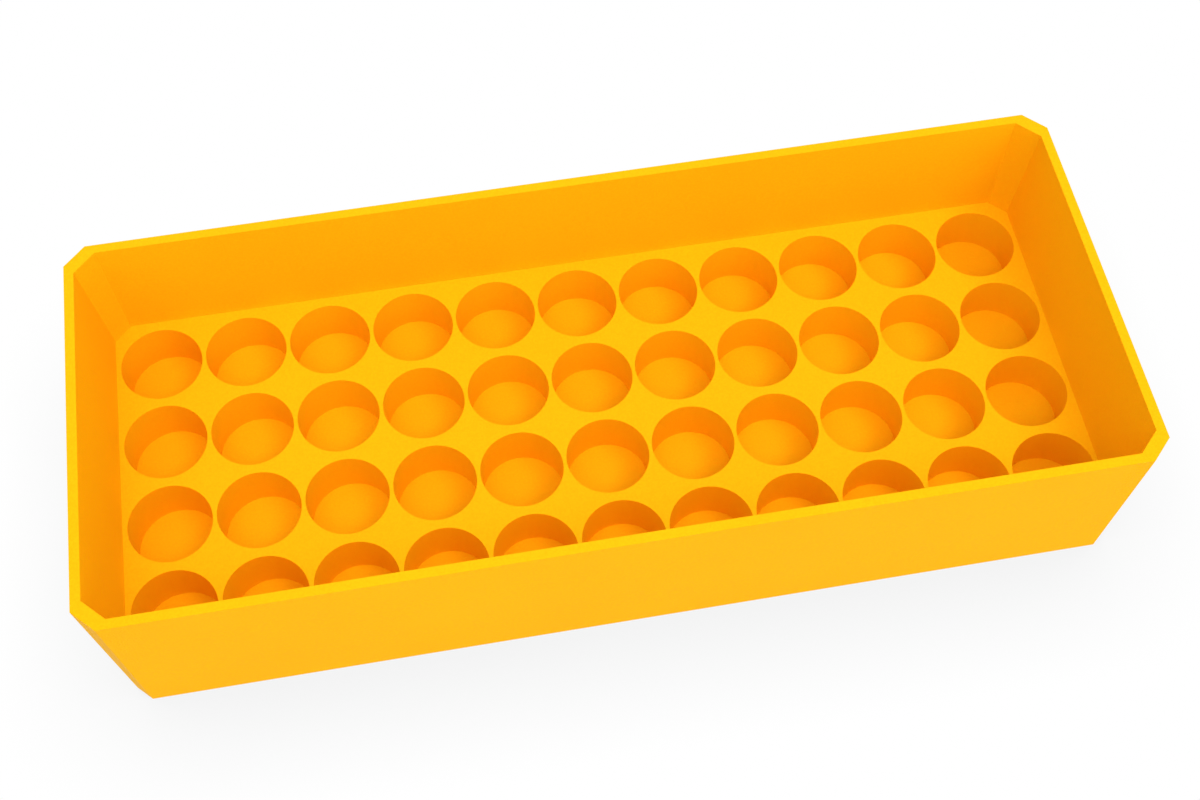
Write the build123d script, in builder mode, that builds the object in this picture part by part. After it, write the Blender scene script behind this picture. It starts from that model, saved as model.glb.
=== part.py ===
from build123d import *
from math import atan, degrees, radians, sqrt, tan
import os

# Battery storage drawer case: a shallow flared tray with cut corners, and the rack that drops into it and
# holds small cylindrical cells upright. Millimetres and degrees. The origin is the middle of the underside,
# with X along the length, Y towards the back and Z up.

os.makedirs("parts", exist_ok=True)

# Cells and the pockets that hold them
cell_diameter = 17.0
cell_clearance = 0.25  # round a cell in its pocket, on the radius
pocket_depth = 11.3
columns = 11
rows = 4

# Plastic left between and around the pockets, at its thinnest
column_web = 0.8  # between two pockets of one row
row_web = 2.0  # between two rows
end_web = 0.25  # outside the end pockets, at the foot of the rack
side_web = 1.85  # outside the front and back rows, at the foot of the rack

# Case: the walls lean out from base to rim, the short end walls about twice as far as the long side walls
wall_thickness = 2.0
floor_thickness = 2.0
case_height = 40.2
end_draft = 3.9
side_draft = 2.0
base_corner = 3.0  # leg of the cut corner at the base
rim_corner = 4.4  # and at the rim

# Clearance between the rack and the walls. It can be small, because the draft frees the rack as it rises.
rack_gap = 0.02

# Pocket grid
pocket_diameter = cell_diameter + 2 * cell_clearance
column_pitch = pocket_diameter + column_web
row_pitch = pocket_diameter + row_web

# The rack stands on the floor of the case and ends at its deck, and the case is sized around the rack's foot
foot_length = pocket_diameter + (columns - 1) * column_pitch + 2 * end_web
foot_width = pocket_diameter + (rows - 1) * row_pitch + 2 * side_web
deck_height = floor_thickness + pocket_depth
rack_inset = wall_thickness + rack_gap  # from the outside of the case to the rack

# How fast the plan grows with height: the length and width on each side, and the leg of the cut corners
end_slope = tan(radians(end_draft))
side_slope = tan(radians(side_draft))
corner_slope = (rim_corner - base_corner) / case_height
corner_draft = degrees(atan((end_slope + side_slope - corner_slope) / sqrt(2)))


def flared_block(bottom, top, inset):
    """A block between two heights that follows the outside of the case, drawn in by inset on every side."""
    foot = Plane.XY.offset(bottom)
    length = foot_length + 2 * (rack_inset - inset + (bottom - floor_thickness) * end_slope)
    width = foot_width + 2 * (rack_inset - inset + (bottom - floor_thickness) * side_slope)
    with BuildPart() as block:
        with BuildSketch(foot) as outline:
            Rectangle(length, width)
            chamfer(outline.vertices(), length=base_corner + bottom * corner_slope)
        extrude(amount=top - bottom)
        draft(block.faces().filter_by(Axis.X), foot, -end_draft)
        draft(block.faces().filter_by(Axis.Y), foot, -side_draft)
        # The cut corners are the four smallest faces. They lean last: on upright walls they would narrow as
        # they rise and could run out below the rim.
        draft(block.faces().sort_by(SortBy.AREA)[:4], foot, -corner_draft)
    return block.part


# Shell: floor and four leaning walls in one piece, open at the top. The corner legs are the same inside and
# outside, which leaves the corners thicker than the walls.
outside = flared_block(0, case_height, 0)
cavity = flared_block(floor_thickness, case_height, wall_thickness)

with BuildPart() as drawer_shell:
    add(outside)
    add(cavity, mode=Mode.SUBTRACT)

drawer_shell.part.label = "drawer_shell"
export_step(drawer_shell.part, "parts/drawer_shell.step")


# Rack: a block that fills the foot of the case, with sides on the same draft. Its pockets go right through,
# so the cells stand on the floor of the case.
rack_block = flared_block(floor_thickness, deck_height, rack_inset)

with BuildPart() as battery_rack:
    add(rack_block)
    with Locations((0, 0, deck_height)):
        with GridLocations(column_pitch, row_pitch, columns, rows):
            Hole(radius=pocket_diameter / 2)

battery_rack.part.label = "battery_rack"
export_step(battery_rack.part, "parts/battery_rack.step")


rim = outside.bounding_box().size
print(f"rim {rim.X:.2f} x {rim.Y:.2f}, deck at {deck_height:.2f}, pitch {column_pitch:.2f} x {row_pitch:.2f}")
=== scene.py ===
from math import cos, radians, sin

import bpy
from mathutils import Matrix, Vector

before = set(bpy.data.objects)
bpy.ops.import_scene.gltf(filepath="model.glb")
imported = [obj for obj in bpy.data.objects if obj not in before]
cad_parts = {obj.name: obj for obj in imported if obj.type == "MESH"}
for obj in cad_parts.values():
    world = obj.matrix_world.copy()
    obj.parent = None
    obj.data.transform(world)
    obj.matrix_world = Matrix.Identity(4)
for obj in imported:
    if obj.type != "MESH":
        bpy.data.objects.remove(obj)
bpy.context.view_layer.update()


# Camera: a 50 mm lens on a 36 mm wide frame, a third of a metre above the floor. It stands 10 degrees round
# to the left of straight on, looks 60 degrees down, and is level.
camera_data = bpy.data.cameras.new("camera")
camera_data.lens = 50
camera_data.sensor_width = 36
camera_data.clip_start = 0.01
camera = bpy.data.objects.new("camera", camera_data)
camera.location = (-0.03031, -0.17238, 0.32298)
camera.rotation_euler = (radians(30.02), 0, radians(-9.98))
bpy.context.collection.objects.link(camera)
bpy.context.scene.camera = camera


# Case: floor and four leaning walls in one piece of yellow-orange polypropylene, injection moulded. Nothing
# is fixed to it. It stands on its flat underside.
def linear(hex_colour):
    """An sRGB hex colour as the linear RGBA that Blender's sockets take."""
    parts = [int(hex_colour[i:i + 2], 16) / 255 for i in (1, 3, 5)]
    return [c / 12.92 if c <= 0.04045 else ((c + 0.055) / 1.055) ** 2.4 for c in parts] + [1]


def add_node(tree, kind, settings, links):
    """A new node. Settings go by property or input name, links by input and the socket that feeds it."""
    new = tree.nodes.new("ShaderNode" + kind)
    for name, value in settings.items():
        if isinstance(name, str) and hasattr(new, name):
            setattr(new, name, value)
        else:
            new.inputs[name].default_value = value
    for name, socket in links.items():
        tree.links.new(socket, new.inputs[name])
    return new.outputs


# Moulded polypropylene from a finely eroded steel mould: an even satin skin with no mirror light face on,
# and a faint pale sheen only where the eye skims it. Plain polypropylene has an IOR of 1.49. The eroded
# skin scatters most of that light, and 1.08 is what is left of it on this tray.
def moulded_polypropylene(name, shift):
    """The plastic of one moulding. Shift moves its pattern, in metres, so that no two mouldings match."""
    # The pigment lies in soft clouds, where the melt ran as it filled the mould. The grain of the skin is
    # about 0.05 mm wide on the real one. It is drawn ten times as wide, so that it shows. Its dents are
    # also
    # painted a little darker in the colour: a painted shade in the pits.
    cloud_mm = 25
    grain_mm = 0.5
    grain_depth_mm = 0.1
    grain_share = 0.7  # of the change in shade, and the clouds have the rest
    material = bpy.data.materials.new(name)
    material.use_nodes = True
    tree = material.node_tree
    skin = tree.nodes["Principled BSDF"]
    skin.inputs["IOR"].default_value = 1.08
    place = add_node(tree, "TexCoord", {}, {})["Object"]
    place = add_node(tree, "Mapping", {"Location": (shift, shift, 0)}, {"Vector": place})["Vector"]
    clouds = add_node(tree, "TexNoise", {"Scale": 1000 / cloud_mm, "Detail": 2}, {"Vector": place})["Fac"]
    grain = add_node(tree, "TexNoise", {"Scale": 1000 / grain_mm, "Detail": 1}, {"Vector": place})["Fac"]
    # The grain's low dents come out in the darker orange: painted shade in the pits, over the real pigment
    # clouds.
    pigment_and_painted_pit_shade = add_node(tree, "Mix", {"Factor": grain_share}, {"A": clouds, "B": grain})["Result"]
    colour = add_node(tree, "ValToRGB", {}, {"Fac": pigment_and_painted_pit_shade})["Color"]
    # The shade keeps near the middle of its range, so both stops stand close to it.
    stops = colour.node.color_ramp.elements
    for stop, position, orange in zip(stops, (0.38, 0.62), ("#ffb90c", "#ffbf0e")):
        stop.position = position
        stop.color = linear(orange)
    roughness = add_node(tree, "MapRange", {"To Min": 0.4, "To Max": 0.6}, {"Value": grain})["Result"]
    dents = {"Strength": 0.5, "Distance": grain_depth_mm / 1000}
    bump = add_node(tree, "Bump", dents, {"Height": grain})["Normal"]
    tree.links.new(colour, skin.inputs["Base Color"])
    tree.links.new(roughness, skin.inputs["Roughness"])
    tree.links.new(bump, skin.inputs["Normal"])
    return material


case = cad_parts["drawer_shell"]
case.data.materials.clear()
case.data.materials.append(moulded_polypropylene("case_polypropylene", shift=0))


# Rack: the block of 44 pockets in the foot of the case, a second moulding of the same polypropylene. It
# lies loose on the floor of the case and lifts out.
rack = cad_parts["battery_rack"]
rack.data.materials.clear()
rack.data.materials.append(moulded_polypropylene("rack_polypropylene", shift=0.3))


# Floor: a plain sheet of white card. It bounces light as pale card does. The camera and the gloss see it
# white, with a faint painted shadow close to the tray, by as much as the tray hides of the even room.
def is_seen(tree):
    """1 where the eye meets the surface, straight, in a gloss or through glass, and 0 where light does."""
    path = add_node(tree, "LightPath", {}, {})
    either = {"operation": "MAXIMUM"}
    seen = add_node(tree, "Math", either, {0: path["Is Camera Ray"], 1: path["Is Glossy Ray"]})[0]
    return add_node(tree, "Math", either, {0: seen, 1: path["Is Transmission Ray"]})[0]


floor_width = 12
floor_drop = 0.0001  # below the underside of the case, so that the two faces don't coincide
shade_reach = 0.03  # how far from the tray its shade goes
deepest_shade = 0.8  # what the white keeps where the tray hides the whole room

bpy.ops.object.select_all(action="DESELECT")
bpy.ops.mesh.primitive_plane_add(size=floor_width, location=(0, 0, -floor_drop))
floor = bpy.context.object
floor.name = "floor"
card = bpy.data.materials.new("white_card")
card.use_nodes = True
tree = card.node_tree
tree.nodes.clear()
bounce = add_node(tree, "BsdfDiffuse", {"Color": (0.62, 0.62, 0.62, 1)}, {})[0]
# The shade the camera sees near the tray is painted: ambient occlusion dims the floor's own white glow, not
# a lamp's cast shadow.
room_seen = add_node(tree, "AmbientOcclusion", {"Distance": shade_reach}, {})["AO"]
white = add_node(tree, "MapRange", {"To Min": deepest_shade, "To Max": 1}, {"Value": room_seen})["Result"]
seen_white_with_painted_shadow = add_node(tree, "Emission", {}, {"Strength": white})[0]
both = add_node(tree, "MixShader", {}, {0: is_seen(tree), 1: bounce, 2: seen_white_with_painted_shadow})[0]
add_node(tree, "OutputMaterial", {}, {"Surface": both})
floor.data.materials.append(card)


# Light: an even white room, a large soft lamp overhead and in front, and a smaller one high on the right,
# which draws the soft pools of light in the pockets. Three more open the shadows: low in front, low behind
# and on the left.
world = bpy.data.worlds.new("room")
world.use_nodes = True
bpy.context.scene.world = world
tree = world.node_tree
tree.nodes.clear()
room = add_node(tree, "Background", {"Color": (1, 1, 1, 1), "Strength": 0.587}, {})[0]
white = add_node(tree, "Background", {"Color": (1, 1, 1, 1), "Strength": 1}, {})[0]
both = add_node(tree, "MixShader", {}, {0: is_seen(tree), 1: room, 2: white})[0]
add_node(tree, "OutputWorld", {}, {"Surface": both})

lamp_distance = 2


def soft_lamp(name, azimuth, elevation, width, watts):
    """A round soft box that faces the tray. Azimuth 0 is the front and 90 the right."""
    a, e = radians(azimuth), radians(elevation)
    towards = Vector((sin(a) * cos(e), -cos(a) * cos(e), sin(e)))
    lamp = bpy.data.lights.new(name, "AREA")
    lamp.shape = "DISK"
    lamp.size = width
    lamp.energy = watts
    holder = bpy.data.objects.new(name, lamp)
    holder.location = towards * lamp_distance
    holder.rotation_euler = towards.to_track_quat("Z", "Y").to_euler()
    bpy.context.collection.objects.link(holder)


soft_lamp("overhead_lamp", azimuth=0, elevation=70, width=1.6, watts=13.6)
soft_lamp("high_right_lamp", azimuth=60, elevation=60, width=0.7, watts=8.2)
soft_lamp("low_front_lamp", azimuth=22, elevation=20, width=1.6, watts=8.6)
soft_lamp("low_back_lamp", azimuth=180, elevation=20, width=1.6, watts=6.8)
soft_lamp("left_lamp", azimuth=315, elevation=45, width=1.6, watts=4.4)

bpy.context.scene.view_settings.view_transform = "Standard"
